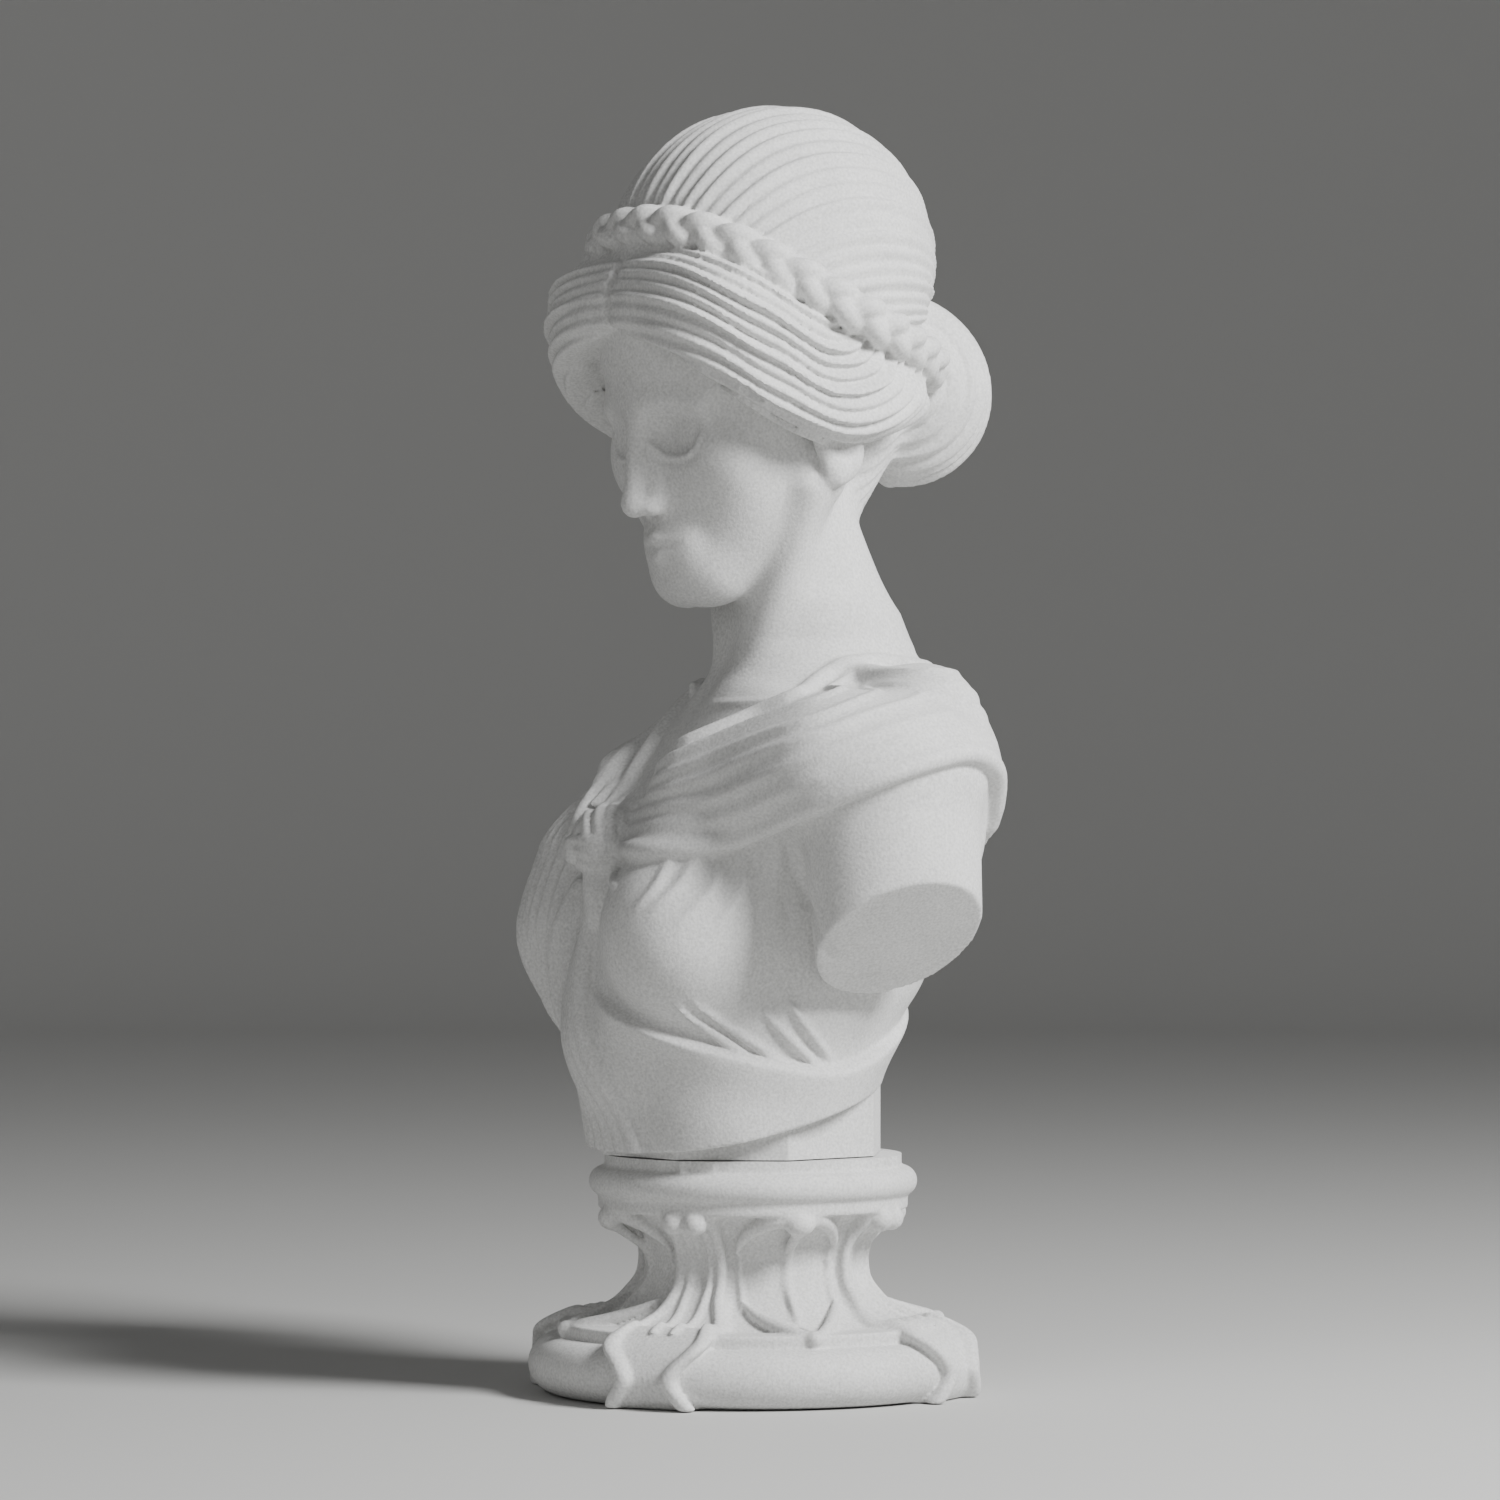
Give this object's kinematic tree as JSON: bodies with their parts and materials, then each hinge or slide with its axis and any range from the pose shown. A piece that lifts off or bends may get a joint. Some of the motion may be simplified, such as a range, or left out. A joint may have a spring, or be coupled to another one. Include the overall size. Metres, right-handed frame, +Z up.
{
  "type": "statuette bust",
  "caption": "Draped figure bust with braided hair on a round concave socle with corner straps, cast in matte resin, for a shelf or table.",
  "frame": {"origin": "centre of the flat underside of the socle", "axes": "+Z up, the front of the torso faces -Y, the figure's left side is +X"},
  "size_m": [0.1495, 0.1149, 0.301],
  "materials": {
    "resin_bust": "matte, very fine grain",
    "resin_socle": "matte, very fine grain"
  },
  "bodies": {
    "root": {"bust": "resin_bust", "socle": "resin_socle"}
  },
  "joints": []
}
